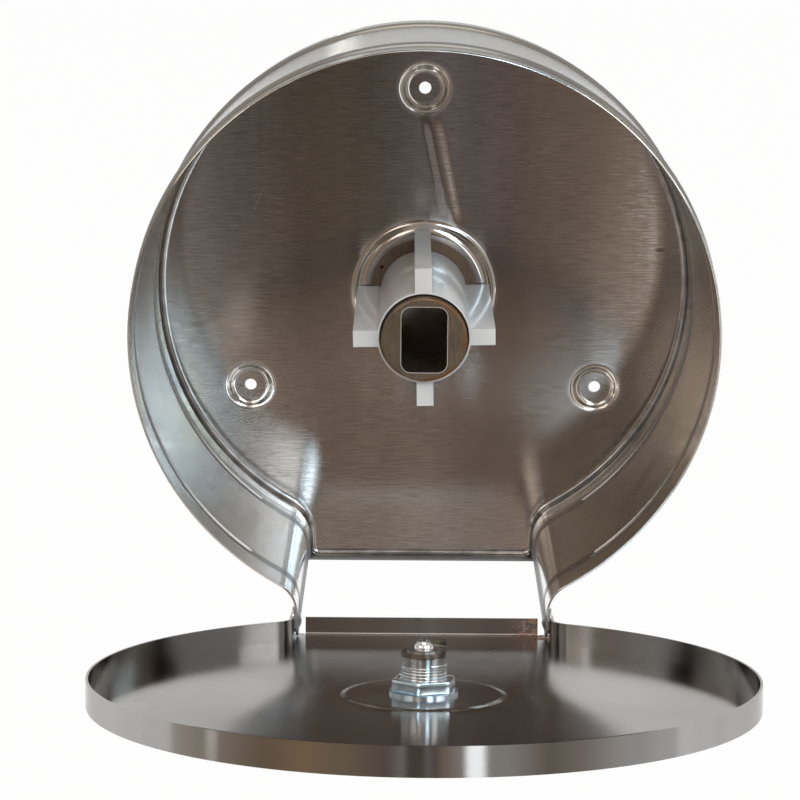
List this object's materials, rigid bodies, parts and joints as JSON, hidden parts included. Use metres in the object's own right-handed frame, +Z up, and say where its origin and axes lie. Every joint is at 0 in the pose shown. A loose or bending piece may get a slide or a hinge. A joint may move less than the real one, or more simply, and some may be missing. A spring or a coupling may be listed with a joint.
{
  "type": "jumbo toilet roll dispenser",
  "caption": "Round wall-mounted steel drum that holds a jumbo toilet roll on a central spindle, with a hinged front lid, a cam lock and a toothed paper outlet below.",
  "frame": {"origin": "middle of the circle of three wall-screw holes, on the plane of the wall, which is also the axis of the drum and spindle", "axes": "+X to the viewer's right, +Y into the wall along the spindle axis, +Z up; the open front faces -Y"},
  "size_m": [0.2736, 0.3708, 0.2846],
  "materials": {
    "brushed_sheet": "horizontally brushed stainless sheet, lightly worn",
    "lid_sheet": "brushed stainless sheet, mirror-like at a low angle, a few stains",
    "spindle_steel": "brownish plain steel with rust at the edge",
    "adaptor_plastic": "moulded off-white plastic, semi-gloss",
    "rivet_steel": "satin rivet metal",
    "lock_zinc": "bright nickel plate, slightly blue",
    "cam_steel": "dark yellowish plated steel",
    "lock_brass": "plain brass inside the lock",
    "screw_chrome": "polished domed screw head"
  },
  "bodies": {
    "drum": {"back_plate": "brushed_sheet", "plate_rim": "brushed_sheet", "drum_wall": "brushed_sheet", "spindle_foot_ring": "spindle_steel", "spindle_tube": "spindle_steel", "spindle_end_plate": "spindle_steel", "hinge_rivet_left": "rivet_steel", "hinge_rivet_right": "rivet_steel", "hinge_washer_left": "rivet_steel", "hinge_washer_right": "rivet_steel"},
    "lid": {"lid_shell": "lid_sheet", "lid_rim": "lid_sheet", "lock_barrel": "lock_zinc", "lock_washer": "lock_zinc", "lock_nut": "lock_zinc"},
    "lock_core": {"lock_plug": "lock_brass", "lock_wafers": "lock_brass", "wafer_springs": "screw_chrome", "lock_cam": "cam_steel", "cam_washer": "screw_chrome", "cam_screw": "screw_chrome"},
    "adaptor": {"core_adaptor": "adaptor_plastic"}
  },
  "joints": [
    {"name": "lid_hinge", "type": "hinge", "parent": "drum", "child": "lid", "pos_m": [0, -0.1028, -0.1378], "axis": [-1, 0, 0], "range_deg": [-14.5, 75.5]},
    {"name": "lock_turn", "type": "hinge", "parent": "lid", "child": "lock_core", "pos_m": [0, -0.23791, -0.10988], "axis": [0, 0.2504, 0.9681], "range_deg": [-57, 33]},
    {"name": "adaptor_spin", "type": "hinge", "parent": "drum", "child": "adaptor", "pos_m": [0, -0.05, 0], "axis": [0, -1, 0], "continuous": true}
  ]
}
